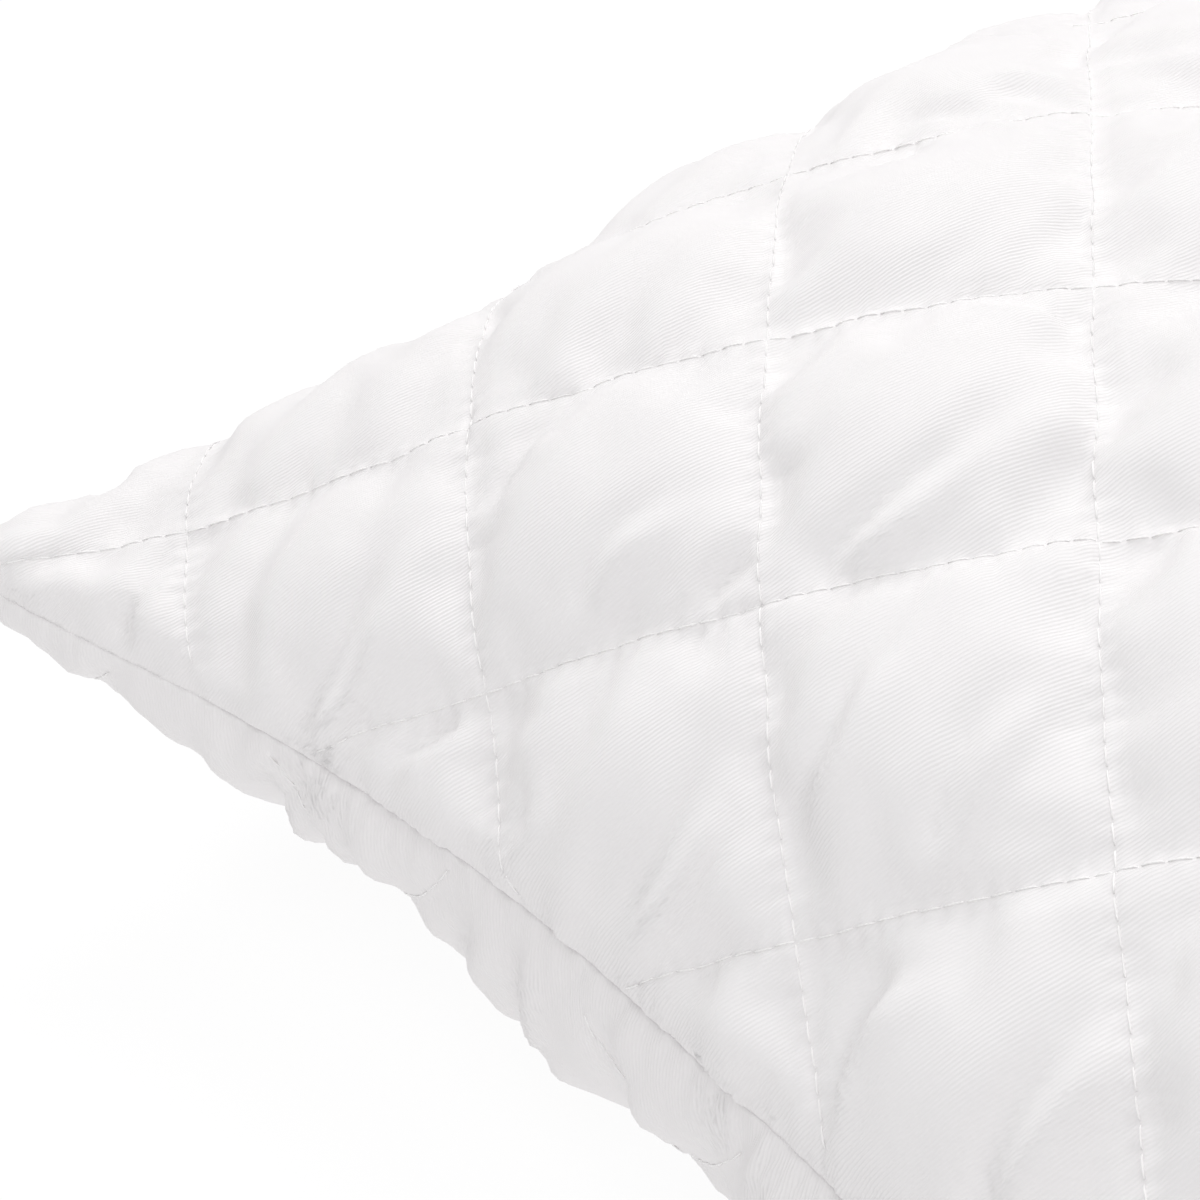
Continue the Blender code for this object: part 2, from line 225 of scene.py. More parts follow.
def layOut(side):
    # a lattice along the quilting lines, trimmed to the cut cloth
    rows = panel["rowsPerCell"]
    cornersU = np.array([0, shortSide, shortSide, 0])
    cornersV = np.array([0, 0, longSide, longSide])
    along, across = linePosition(cornersU, cornersV, side)
    alongRange = np.arange(math.floor(along.min()) * rows, math.ceil(along.max()) * rows + 1)
    acrossRange = np.arange(math.floor(across.min()) * rows, math.ceil(across.max()) * rows + 1)
    gridA, gridB = np.meshgrid(alongRange / rows, acrossRange / rows, indexing="ij")
    u, v = flatFromLines(gridA, gridB, side)
    margin = cell / rows * panel["marginRows"]
    keep = (u > -margin) & (u < shortSide + margin) & (v > -margin) & (v < longSide + margin)
    number = np.full(keep.shape, -1)
    number[keep] = np.arange(keep.sum())
    quads = np.stack([number[:-1, :-1], number[:-1, 1:], number[1:, 1:], number[1:, :-1]], axis=-1)
    quads = quads.reshape(-1, 4)
    quads = quads[(quads >= 0).all(axis=1)]
    mesh = bpy.data.meshes.new(side + "Pattern")
    points = np.stack([u[keep], v[keep], np.zeros(keep.sum())], axis=1)
    mesh.from_pydata(points.tolist(), [], quads.tolist())
    bm = bmesh.new()
    bm.from_mesh(mesh)
    bpy.data.meshes.remove(mesh)
    sides = (((0, 0, 0), (-1, 0, 0)), ((shortSide, 0, 0), (1, 0, 0)),
             ((0, 0, 0), (0, -1, 0)), ((0, longSide, 0), (0, 1, 0)))
    for point, normal in sides:
        everything = bm.verts[:] + bm.edges[:] + bm.faces[:]
        bmesh.ops.bisect_plane(bm, geom=everything, dist=1e-6, plane_co=point,
                               plane_no=normal, clear_outer=True)
    # narrow trimmings by the seam are drawn onto it
    for vert in bm.verts:
        nearU = 0 if vert.co.x < shortSide / 2 else shortSide
        nearV = 0 if vert.co.y < longSide / 2 else longSide
        if 0 < abs(vert.co.x - nearU) < panel["trim"]:
            vert.co.x = nearU
        if 0 < abs(vert.co.y - nearV) < panel["trim"]:
            vert.co.y = nearV
    bmesh.ops.remove_doubles(bm, verts=bm.verts[:], dist=panel["weld"])
    bmesh.ops.dissolve_degenerate(bm, edges=bm.edges[:], dist=panel["sliver"])
    flatLayer = bm.verts.layers.float_vector.new("flat")
    for vert in bm.verts:
        vert[flatLayer] = vert.co
    bmesh.ops.recalc_face_normals(bm, faces=bm.faces[:])
    up = sum(face.normal.z for face in bm.faces)
    if (up > 0) != (side == "top"):
        bmesh.ops.reverse_faces(bm, faces=bm.faces[:])
    mesh = bpy.data.meshes.new(side + "Panel")
    bm.to_mesh(mesh)
    bm.free()
    return mesh


def flatOf(mesh):
    flat = np.zeros(len(mesh.vertices) * 3)
    mesh.attributes["flat"].data.foreach_get("vector", flat)
    return flat.reshape(-1, 3)[:, :2].T


def loftOf(u, v, side):
    along, across = linePosition(u, v, side)
    puff = np.abs(np.sin(math.pi * along) * np.sin(math.pi * across)) ** panel["puffCurve"]
    lip = np.clip(fromSeam(u, v) / cover["lipWidth"], 0, 1) ** panel["lipCurve"]
    return cover["loft"] * puff * lip


def puffUp(mesh, side):
    # air the cells up with cloth simulation, held at the stitched lines and the seam
    u, v = flatOf(mesh)
    start = meshPoints(mesh)
    trial = newObject(side + "Trial", mesh.copy())
    along, across = linePosition(u, v, side)
    held = np.minimum(np.abs(fromLine(along)), np.abs(fromLine(across))) < panel["sewnWidth"]
    held |= fromSeam(u, v) < cover["seamBand"]
    group = trial.vertex_groups.new(name="sewn")
    group.add(np.flatnonzero(held).tolist(), 1.0, "REPLACE")
    cloth = trial.modifiers.new("cloth", "CLOTH")
    settings = cloth.settings
    settings.shrink_min = -panel["ease"]
    settings.vertex_group_mass = "sewn"
    settings.mass = panel["pointMass"]
    settings.quality = 5
    settings.tension_stiffness = settings.compression_stiffness = panel["stiffness"]
    settings.shear_stiffness = panel["shear"]
    settings.bending_stiffness = panel["bending"]
    settings.air_damping = 1
    settings.use_pressure = True
    settings.uniform_pressure_force = panel["pressure"]
    settings.effector_weights.gravity = 0
    cloth.collision_settings.use_collision = False
    cloth.point_cache.frame_start = 1
    cloth.point_cache.frame_end = panel["frames"]
    for number in range(1, panel["frames"] + 1):
        scene.frame_set(number)
    shaped = trial.evaluated_get(bpy.context.evaluated_depsgraph_get()).to_mesh()
    points = meshPoints(shaped)
    scene.frame_set(1)
    bpy.data.objects.remove(trial)
    move = points - start
    far = np.linalg.norm(move, axis=1)
    limit = panel["mostMovement"]
    middle, most = np.median(far[~held]) * 1000, far.max() * 1000
    print("  moved, mm: middle", round(middle, 1), "most", round(most, 1))
    move *= (np.tanh(far / limit) * limit / np.maximum(far, 1e-9))[:, None]
    return start + move


# faint folds across the short seam, for the cloth to gather into
foldSeed = {
    "height": 0.0020,
    "spacing": 0.021,
    "slant": 0.25,
    "drift": 0.010,
    "driftPatch": (0.05, 0.09),
    "patch": (0.03, 0.05),
}


def foldSeeds(u, v, side):
    shift = 11 if side == "top" else 23
    patchU, patchV = foldSeed["driftPatch"]
    drift = smoothNoise(u / patchU, v / patchV, shift) * foldSeed["drift"]
    ridges = np.sin((u + drift + foldSeed["slant"] * v) / foldSeed["spacing"] * 2 * math.pi)
    patchU, patchV = foldSeed["patch"]
    patchy = 0.5 + 0.5 * smoothNoise(u / patchU, v / patchV, shift + 1)
    return foldSeed["height"] * ridges * patchy


def pressOnTable(points):
    points[:, 2] = smoothMax(points[:, 2], panel["tableGap"], panel["tableBlend"])
    return points


def refine(mesh):
    thing = newObject("fine", mesh)
    smooth = thing.modifiers.new("smooth", "SUBSURF")
    smooth.levels = smooth.render_levels = 1
    smooth.boundary_smooth = "PRESERVE_CORNERS"
    shaped = thing.evaluated_get(bpy.context.evaluated_depsgraph_get())
    finer = bpy.data.meshes.new_from_object(shaped)
    bpy.data.objects.remove(thing)
    return finer


def fineByLines(mesh, side):
    # twice as fine again beside the stitching, so that each stitch can pull the cloth in
    bm = bmesh.new()
    bm.from_mesh(mesh)
    flatLayer = bm.verts.layers.float_vector["flat"]
    flat = np.array([vert[flatLayer] for vert in bm.verts])
    along, across = linePosition(flat[:, 0], flat[:, 1], side)
    row = cell / panel["rowsPerCell"] / 2
    near = np.minimum(np.abs(fromLine(along)), np.abs(fromLine(across))) < row * panel["fineRows"]
    near |= fromSeam(flat[:, 0], flat[:, 1]) < panel["fineBySeam"]
    edges = [edge for edge in bm.edges if near[edge.verts[0].index] and near[edge.verts[1].index]]
    bmesh.ops.subdivide_edges(bm, edges=edges, cuts=1, use_grid_fill=True)
    bm.to_mesh(mesh)
    bm.free()
    return mesh


# how the stitching and the seam pull the cloth: a height and a reach, in metres
sewing = {
    "bed": (0.0006, 0.0016),           # flat bottom of a stitched valley
    "hole": (0.00045, 0.0008),
    "pucker": (0.00030, 0.0030),       # small, one to a stitch
    "puckerRun": 1.7,                  # stitches over which the puckers change
    "gather": (0.0012, 0.0050),        # larger, running off a line
    "gatherRuns": (2.1, 4.5),          # widths in stitches
    "clearOfSeam": (0.002, 0.006),     # where they start, and over how far they grow
    "seamPucker": (0.0022, 0.00756),
    "seamPuckerRuns": (0.0068, 0.016),
    "seamPuckerSlant": 0.012,
    "seamTuck": (0.0005, 0.0030),      # fine tucks, close together, right beside the seam
    "seamTuckPitch": 0.0042,
    "seamTuckRuns": (0.011, 0.022),
    "seamRound": (0.0011, 0.0045),     # the padded edge stands proud of the seam
    "undersideMore": 1.4,              # the cloth under the seam is gathered more
    "turnIn": 0.009,                   # seam allowance turned to the inside
    "turnInEdge": 0.0012,
    "turnInRise": (0.0003, 0.0006),
}


def hump(distance, reach):
    # nothing at the stitching, highest at a reach's distance, then fading
    share = distance / reach
    return share * np.exp(1 - share)


def seamPlace(u, v):
    # how far along the seam, which side it is, and the way in from it
    gaps = np.stack([u, shortSide - u, v, longSide - v])
    which = gaps.argmin(axis=0)
    position = np.where(which < 2, v, u)
    return position, which, gaps.min(axis=0)


def sewDown(points, normals, u, v, side):
    seed = 100 if side == "top" else 200
    along, across = linePosition(u, v, side)
    position, which, gap = seamPlace(u, v)
    bare, full = sewing["clearOfSeam"]
    inside = np.clip((gap - bare) / full, 0, 1)
    lift = np.zeros_like(u)
    for number, (line, travel) in enumerate(((along, across), (across, along))):
        offset = fromLine(line)
        distance = np.abs(offset)
        stitch = travel * cover["stitchesPerCell"]
        atHole = np.cos(2 * math.pi * stitch)
        lineName = np.round(line) * 5.3 + (offset > 0) * 2.6 + number * 91
        rise, width = sewing["bed"]
        lift += rise * np.exp(-(distance / width) ** 2)
        depth, width = sewing["hole"]
        lift -= depth * np.exp(-(distance / width) ** 2) * (0.5 + 0.5 * atHole) ** 2
        height, reach = sewing["pucker"]
        uneven = 0.6 + 0.6 * smoothNoise(stitch / sewing["puckerRun"], lineName, seed)
        lift -= height * uneven * atHole * hump(distance, reach)
        height, reach = sewing["gather"]
        narrow, wide = sewing["gatherRuns"]
        gathers = smoothNoise(stitch / narrow, lineName, seed + 1)
        gathers += 0.6 * smoothNoise(stitch / wide, lineName, seed + 2)
        lift += height * gathers * hump(distance, reach)
    lift *= inside
    more = sewing["undersideMore"] if side == "bottom" else 1
    height, reach = sewing["seamPucker"]
    narrow, wide = sewing["seamPuckerRuns"]
    puckers = smoothNoise(position / narrow, which * 7.7, seed + 3)
    puckers += 0.7 * smoothNoise(position / wide, which * 3.1, seed + 4)
    slant = gap / sewing["seamPuckerSlant"]
    slanted = smoothNoise(position / narrow + slant, which * 7.7, seed + 5)
    lift += height * more * (0.6 * puckers + 0.4 * slanted) * hump(gap, reach)
    height, reach = sewing["seamTuck"]
    narrow, wide = sewing["seamTuckRuns"]
    patchy = np.clip(0.4 + smoothNoise(position / wide, which * 5.9, seed + 6), 0, 1.2)
    turns = position / sewing["seamTuckPitch"] + smoothNoise(position / narrow, which, seed + 7)
    lift += height * more * patchy * np.sin(2 * math.pi * turns) * hump(gap, reach)
    height, reach = sewing["seamRound"]
    lift += height * hump(gap, reach)
    lift += foldLift(u, v, side) * np.clip((gap - bare / 2) / full, 0, 1)
    return points + normals * lift[:, None]


# folds in the cover: where each starts and ends on the flat cloth, its height and half width
folds = {
    "top": [
        ((0.113, 0.002), (0.113, 0.056), 0.0042, 0.0048),
        ((0.057, 0.002), (0.058, 0.032), 0.0026, 0.0036),
        ((0.120, 0.068), (0.126, 0.097), 0.0016, 0.0040),
        ((0.160, 0.062), (0.164, 0.092), 0.0022, 0.0042),
        ((0.189, 0.072), (0.185, 0.094), 0.0026, 0.0036),
        ((0.205, 0.096), (0.212, 0.150), 0.0026, 0.0044),
        ((0.210, 0.016), (0.212, 0.060), 0.0032, 0.0046),
        ((0.230, 0.056), (0.233, 0.096), 0.0026, 0.0044),
        ((0.260, 0.066), (0.260, 0.102), 0.0026, 0.0044),
        ((0.270, 0.016), (0.273, 0.050), 0.0030, 0.0046),
        ((0.312, 0.022), (0.305, 0.064), 0.0030, 0.0046),
        ((0.140, 0.010), (0.143, 0.030), 0.0020, 0.0036),
        ((0.172, 0.004), (0.174, 0.030), 0.0022, 0.0036),
    ],
    "bottom": [
        ((0.110, 0.070), (0.165, 0.022), 0.0030, 0.0045),
        ((0.098, 0.002), (0.104, 0.036), 0.0036, 0.0040),
        ((0.178, 0.002), (0.186, 0.038), 0.0036, 0.0042),
        ((0.262, 0.002), (0.268, 0.036), 0.0032, 0.0042),
    ],
    "perCell": 3.2,
    "length": (0.022, 0.052),
    "height": (0.0010, 0.0030),
    "halfWidth": (0.0034, 0.0052),
    "stray": 0.22,                  # how far a fold strays from square, in radians
    "fadeInwards": (1.1, 0.7),
    "clearOf": (0.34, 0.16),        # the folds listed above fill this corner of the top
    "bend": 0.0025,
    "pinned": 0.004,                # how near a stitched line they come
}


def scatterFolds(side):
    # the rest of the cover: folds run square to the nearer seam, and fade towards the middle
    random = np.random.default_rng(41 if side == "top" else 42)
    made = list(folds[side])
    for _ in range(round(folds["perCell"] * shortSide * longSide / cell ** 2)):
        u, v = random.uniform(0, shortSide), random.uniform(0, longSide)
        length = random.uniform(*folds["length"])
        nearU, nearV = min(u, shortSide - u), min(v, longSide - v)
        heading = math.atan2(nearU, nearV) + random.normal(0, folds["stray"])
        most, less = folds["fadeInwards"]
        height = random.uniform(*folds["height"])
        height *= most - less * min(nearU, nearV) / (shortSide / 2)
        width = random.uniform(*folds["halfWidth"])
        if side == "top" and u < folds["clearOf"][0] and v < folds["clearOf"][1]:
            continue
        reach = (length / 2 * math.cos(heading), length / 2 * math.sin(heading))
        made.append(((u - reach[0], v - reach[1]), (u + reach[0], v + reach[1]), height, width))
    return made


def foldLift(u, v, side):
    # a ridge with a sharper valley beside it, stopped by the stitched lines
    along, across = linePosition(u, v, side)
    lift = np.zeros_like(u)
    for number, (start, end, height, width) in enumerate(scatterFolds(side)):
        start, end = np.array(start), np.array(end)
        run = end - start
        length = np.hypot(*run)
        run = run / length
        offsetU, offsetV = u - start[0], v - start[1]
        travel = (offsetU * run[0] + offsetV * run[1]) / length
        aside = offsetV * run[0] - offsetU * run[1]
        near = (travel > -0.15) & (travel < 1.15) & (np.abs(aside) < width * 4)
        t = travel[near]
        bend = folds["bend"] * np.sin(t * 4.2 + number)
        w = (aside[near] + bend) / (width * (0.75 + 0.5 * np.clip(t, 0, 1)))
        fade = np.clip((t + 0.12) / 0.3, 0, 1) * np.clip((1.12 - t) / 0.55, 0, 1)
        fade = fade * fade * (3 - 2 * fade)
        turn = -1 if number % 4 == 3 and number > len(folds[side]) else 1
        ridge = 0.8 * np.exp(-(w / 0.8) ** 2)
        valley = 0.9 * np.exp(-((w - turn * 1.5) / 0.9) ** 2)
        lift[near] += height * fade * (ridge - valley)
    pinned = np.minimum(np.abs(fromLine(along)), np.abs(fromLine(across)))
    return lift * (1 - np.exp(-(pinned / folds["pinned"]) ** 2))


def turnSeamIn(mesh, side):
    # the edge goes on past the seam, inwards
    bm = bmesh.new()
    bm.from_mesh(mesh)
    flatLayer = bm.verts.layers.float_vector["flat"]
    up = 1 if side == "top" else -1
    edge = 0.001
    for inset, rise in zip((sewing["turnInEdge"], sewing["turnIn"]), sewing["turnInRise"]):
        edges = [line for line in bm.edges if line.is_boundary]
        made = bmesh.ops.extrude_edge_only(bm, edges=edges)["geom"]
        for vert in made:
            if isinstance(vert, bmesh.types.BMVert):
                u, v = vert[flatLayer][:2]
                inU = (u < edge) - (u > shortSide - edge)
                inV = (v < edge) - (v > longSide - edge)
                vert.co += Vector((inU * inset, inV * inset, up * rise))
    bm.to_mesh(mesh)
    bm.free()


def laySeamFlat(mesh):
    # bake map: the cut cloth itself
    layer = mesh.uv_layers.new(name=panel["bakeUV"])
    flat = np.stack(flatOf(mesh), axis=1) / panel["bakeWidth"] + panel["bakeMargin"]
    corner = np.zeros(len(mesh.loops), int)
    mesh.loops.foreach_get("vertex_index", corner)
    layer.data.foreach_set("uv", flat[corner].astype(np.float32).ravel())


def makePanel(side, name):
    print("laying out the", side, "panel")
    mesh = layOut(side)
    u, v = flatOf(mesh)
    base = placePanel(u, v, side)
    setPoints(mesh, base)
    normals = meshNormals(mesh)
    share = panel["startLoft"]
    lift = loftOf(u, v, side) * share
    lift += foldSeeds(u, v, side) * np.clip(lift / cover["loft"] * 2, 0, 1)
    start = base + normals * lift[:, None]
    if side == "bottom":
        start = pressOnTable(start)
    setPoints(mesh, start)
    print("simulating the", side, "panel")
    setPoints(mesh, puffUp(mesh, side))
    print("sewing down the", side, "panel")
    mesh = fineByLines(refine(mesh), side)
    u, v = flatOf(mesh)
    points = sewDown(meshPoints(mesh), meshNormals(mesh), u, v, side)
    if side == "bottom":
        points = pressOnTable(points)
    setPoints(mesh, points)
    turnSeamIn(mesh, side)
    laySeamFlat(mesh)
    thing = newObject(name, mesh)
    for polygon in mesh.polygons:
        polygon.use_smooth = True
    return thing


thread = {
    "radius": 0.00021,
    "sunk": 0.00020,          # how deep a stitch's ends go
    "proud": 0.00014,
    "wander": 0.00010,
    "plump": (0.9, 1.12),     # thinnest and thickest stitch
    "tuckedUp": 0.9,          # share of the cloth's rise that a stitch follows
    "sides": 6,
}


def stitchMesh(name, fromPoints, toPoints, normals, radius, seed):
    # one short padded length of thread from each hole to the next
    random = np.random.default_rng(seed)
    count = len(fromPoints)
    shares = np.array([0.07, 0.22, 0.5, 0.78, 0.93])
    rise = np.array([-1, 0.75, 1, 0.75, -1.0])
    rise = np.where(rise < 0, rise * thread["sunk"], rise * thread["proud"])
    thick = np.array([0.6, 0.95, 1.0, 0.95, 0.6]) * radius
    run = toPoints - fromPoints
    direction = run / np.linalg.norm(run, axis=1)[:, None]
    sideways = np.cross(direction, normals)
    sideways /= np.linalg.norm(sideways, axis=1)[:, None]
    upward = np.cross(sideways, direction)
    wander = random.normal(0, thread["wander"], (count, 2))
    plump = random.uniform(*thread["plump"], count)
    angles = np.arange(thread["sides"]) * 2 * math.pi / thread["sides"]
    rings = []
    for share, lift, width in zip(shares, rise, thick):
        shift = wander[:, 0] * (1 - share) + wander[:, 1] * share
        centre = fromPoints + run * share + upward * lift + sideways * shift[:, None]
        reach = (width * plump)[:, None]
        for angle in angles:
            side, height = math.cos(angle), math.sin(angle)
            rings.append(centre + sideways * reach * side + upward * reach * height)
    points = np.stack(rings, axis=1).reshape(-1, 3)
    sides, ringCount = thread["sides"], len(shares)
    quads = []
    for ring in range(ringCount - 1):
        for corner in range(sides):
            after = (corner + 1) % sides
            base, above = ring * sides, (ring + 1) * sides
            quads.append((base + corner, base + after, above + after, above + corner))
    starts = np.arange(count) * sides * ringCount
    faces = (np.array(quads)[None] + starts[:, None, None]).reshape(-1, 4).tolist()
    low = np.arange(sides)[::-1]
    high = np.arange(sides) + sides * (ringCount - 1)
    faces += (low[None] + starts[:, None]).tolist() + (high[None] + starts[:, None]).tolist()
    mesh = bpy.data.meshes.new(name)
    mesh.from_pydata(points.tolist(), [], faces)
    bm = bmesh.new()
    bm.from_mesh(mesh)
    bmesh.ops.recalc_face_normals(bm, faces=bm.faces[:])
    bm.to_mesh(mesh)
    bm.free()
    mesh.polygons.foreach_set("use_smooth", [True] * len(mesh.polygons))
    return newObject(name, mesh)


def alongLine(wanted, place, values):
    return np.stack([np.interp(wanted, place, values[:, k]) for k in range(3)], axis=1)


def quiltingStitches(panelPiece, side, name):
    mesh = panelPiece.data
    u, v = flatOf(mesh)
    points, normals = meshPoints(mesh), meshNormals(mesh)
    along, across = linePosition(u, v, side)
    away = fromSeam(u, v) > cover["seamBand"]
    perCell = cover["stitchesPerCell"]
    tolerance, fewestPoints = 2e-5, 6
    starts, ends, ups = [], [], []
    for line, travel in ((along, across), (across, along)):
        onLine = (np.abs(fromLine(line)) < tolerance) & away
        for number in np.unique(np.round(line[onLine])):
            chosen = np.flatnonzero(onLine & (np.round(line) == number))
            if len(chosen) < fewestPoints:
                continue
            chosen = chosen[np.argsort(travel[chosen])]
            place = travel[chosen] * perCell
            holes = np.arange(math.ceil(place[0]), math.floor(place[-1]) + 1)
            middle = (holes[:-1] + holes[1:]) / 2
            at = alongLine(holes, place, points[chosen])
            mid = alongLine(middle, place, points[chosen])
            up = alongLine(middle, place, normals[chosen])
            rise = ((mid - (at[:-1] + at[1:]) / 2) * up).sum(axis=1)
            lifted = up * np.maximum(rise, 0)[:, None] * thread["tuckedUp"]
            starts.append(at[:-1] + lifted)
            ends.append(at[1:] + lifted)
            ups.append(up)
    print(" ", side, "quilting stitches", sum(len(part) for part in starts))
    return stitchMesh(name, np.concatenate(starts), np.concatenate(ends),
                      np.concatenate(ups), thread["radius"], 7 if side == "top" else 8)


topPanel = makePanel("top", "top_quilted_panel")
bottomPanel = makePanel("bottom", "bottom_quilted_panel")
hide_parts("top_face_cloth", "top_wadding", "top_backing")
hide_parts("bottom_face_cloth", "bottom_wadding", "bottom_backing")
topStitches = quiltingStitches(topPanel, "top", "top_quilting_stitches")
bottomStitches = quiltingStitches(bottomPanel, "bottom", "bottom_quilting_stitches")
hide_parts("top_quilting_thread")
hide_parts("bottom_quilting_thread")
for thing in (topPanel, bottomPanel):
    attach(thing, "root")
for thing in (topStitches, bottomStitches):
    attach(thing, "root")
for thing in (topPanel, bottomPanel, topStitches, bottomStitches):
    triangles = sum(len(p.vertices) - 2 for p in thing.data.polygons)
    print(" ", thing.name, len(thing.data.vertices), "points", triangles, "triangles")


seam = {
    "pitch": 0.0026,
    "inset": 0.0015,
    "endMargin": 1.5,            # insets left free at each corner
    "radius": 0.00020,
}


def seamRun(which, positions):
    # points on the seam line, and the way in, for one side of the pillow
    zero = np.zeros_like(positions)
    u, v = {
        "near": (positions, zero), "far": (positions, zero + longSide),
        "left": (zero, positions), "right": (zero + shortSide, positions),
    }[which]
    points = placePanel(u, v, "top")
    inward = {"near": (0, 1, 0), "far": (0, -1, 0), "left": (1, 0, 0), "right": (-1, 0, 0)}[which]
    return points, np.array(inward, float)


def edgeSeamStitches(name):
    starts, ends = [], []
    margin = seam["inset"] * seam["endMargin"]
    lengths = {"near": shortSide, "far": shortSide, "left": longSide, "right": longSide}
    for which, length in lengths.items():
        holes = np.linspace(margin, length - margin, round(length / seam["pitch"]) + 1)
        points, inward = seamRun(which, holes)
        points = points + inward * seam["inset"]
        starts.append(points[:-1])
        ends.append(points[1:])
    starts, ends = np.concatenate(starts), np.concatenate(ends)
    up = np.tile((0.0, 0.0, 1.0), (len(starts), 1))
    return stitchMesh(name, starts, ends, up, seam["radius"], 9)


closing = {
    "pitch": 0.0055,
    "slant": 0.45,               # in pitches
    "reach": 0.0013,             # how far each stitch bites into either edge
    "outside": 0.0006,
    "radius": 0.00026,
}


def closingStitches(name):
    # slip stitches that draw the two edges together, slanting across the seam
    low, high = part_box("closing_thread")
    length = high.x - low.x
    middle = shortSide / 2
    places = np.arange(middle - length / 2, middle + length / 2, closing["pitch"])
    above, inward = seamRun("far", places)
    below = seamRun("far", places + closing["pitch"] * closing["slant"])[0]
    reach = np.array([0, 0, closing["reach"]])
    outward = -inward * closing["outside"]
    up = np.tile(-inward, (len(places), 1))
    return stitchMesh(name, above + reach + outward, below - reach + outward, up,
                      closing["radius"], 10)


fibre = {
    "grid": (40, 56),
    "clear": 0.052,              # taken off each side's length
    "lowered": 0.0125,           # under the top cover
    "raised": 0.0105,
    "lump": (0.018, 0.0022),     # width and height
    "wideLump": (0.05, 0.003),
    "edge": 14,                  # the rim rounds off over one part in this many
    "drawnIn": 0.985,
}


def fibreFilling(name):
    # soft fibre, lumpy, a little clear of the cover
    columns, rows = fibre["grid"]
    share = np.linspace(0, 1, columns + 1), np.linspace(0, 1, rows + 1)
    gridU, gridV = np.meshgrid(share[0], share[1], indexing="ij")
    u = fibre["clear"] / 2 + gridU.ravel() * (shortSide - fibre["clear"])
    v = fibre["clear"] / 2 + gridV.ravel() * (longSide - fibre["clear"])
    toRim = np.minimum(np.minimum(gridU, 1 - gridU), np.minimum(gridV, 1 - gridV)).ravel()
    rim = np.clip(toRim * fibre["edge"], 0, 1)
    middle = seamHeight(u, v)
    (small, smallRise), (wide, wideRise) = fibre["lump"], fibre["wideLump"]
    lumps = smoothNoise(u / small, v / small, 61) * smallRise
    lumps += smoothNoise(u / wide, v / wide, 62) * wideRise
    shells = []
    for side, shift in (("top", -fibre["lowered"]), ("bottom", fibre["raised"])):
        points = placePanel(u, v, side)
        depth = (points[:, 2] + shift - middle) * np.sin(rim * math.pi / 2) + lumps * rim
        points[:, 2] = middle + (np.maximum(depth, 0) if side == "top" else np.minimum(depth, 0))
        points[:, :2] *= fibre["drawnIn"]
        shells.append(points)
    number = np.arange(len(u)).reshape(columns + 1, rows + 1)
    quads = np.stack([number[:-1, :-1], number[1:, :-1], number[1:, 1:], number[:-1, 1:]], axis=-1)
    quads = quads.reshape(-1, 4)
    faces = quads.tolist() + (quads[:, ::-1] + len(u)).tolist()
    mesh = bpy.data.meshes.new(name)
    mesh.from_pydata(np.concatenate(shells).tolist(), [], faces)
    bm = bmesh.new()
    bm.from_mesh(mesh)
    bmesh.ops.remove_doubles(bm, verts=bm.verts[:], dist=0.00002)
    bmesh.ops.recalc_face_normals(bm, faces=bm.faces[:])
    bm.to_mesh(mesh)
    bm.free()
    mesh.polygons.foreach_set("use_smooth", [True] * len(mesh.polygons))
    return newObject(name, mesh)


label = {
    "width": 0.030,
    "length": 0.022,
    "grid": (24, 28),
    "turn": -0.18,             # follows the seam where it is caught
    "caught": 0.0022,          # length held inside the seam
    "pinch": 0.3,              # how far the two layers close at the seam
    "foldRadius": 0.0007,
    "droop": 0.0035,
    "bow": (0.0008, 2.2),
    "wave": (0.0007, 160, 0.6),
    "thickness": 0.00025,
    "edgeRound": 0.00006,
}


def careLabel(name):
    # one ribbon folded in half, its two ends caught in the seam
    low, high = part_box("care_label")
    centre = (low + high) / 2
    columns, rows = label["grid"]
    (bow, bowTurn), (wave, waveTurn, waveStart) = label["bow"], label["wave"]
    across = np.linspace(-0.5, 0.5, columns + 1) * label["width"]
    fold = math.pi * label["foldRadius"]
    total = label["length"] * 2 + fold
    travel = np.linspace(0, total, rows * 2 + 1)
    points = []
    for along in travel:
        if along < label["length"]:
            out, height = along, label["foldRadius"]
        elif along < label["length"] + fold:
            angle = (along - label["length"]) / label["foldRadius"]
            out = label["length"] + math.sin(angle) * label["foldRadius"]
            height = math.cos(angle) * label["foldRadius"]
        else:
            out, height = total - along, -label["foldRadius"]
        share = out / label["length"]
        height *= label["pinch"] + (1 - label["pinch"]) * share
        y = out - label["length"] / 2 - label["caught"]
        for x in across:
            curl = wave * math.sin(x * waveTurn + waveStart) * share
            sag = bow * share * math.cos(x / label["width"] * bowTurn) - label["droop"] * share ** 2
            points.append((x, y, height + sag + curl))
    quads = []
    for row in range(rows * 2):
        for column in range(columns):
            at = row * (columns + 1) + column
            quads.append((at, at + 1, at + columns + 2, at + columns + 1))
    mesh = bpy.data.meshes.new(name)
    mesh.from_pydata(points, [], quads)
    mesh.transform(Matrix.Translation(centre) @ Matrix.Rotation(label["turn"], 4, "Z"))
    thing = newObject(name, mesh)
    thick = thing.modifiers.new("thick", "SOLIDIFY")
    thick.thickness = label["thickness"]
    thick.offset = 0
    edges = thing.modifiers.new("edges", "BEVEL")
    edges.width = label["edgeRound"]
    edges.limit_method = "ANGLE"
    shaped = thing.evaluated_get(bpy.context.evaluated_depsgraph_get())
    solid = bpy.data.meshes.new_from_object(shaped)
    thing.modifiers.clear()
    thing.data = solid
    bpy.data.meshes.remove(mesh)
    solid.polygons.foreach_set("use_smooth", [True] * len(solid.polygons))
    return thing


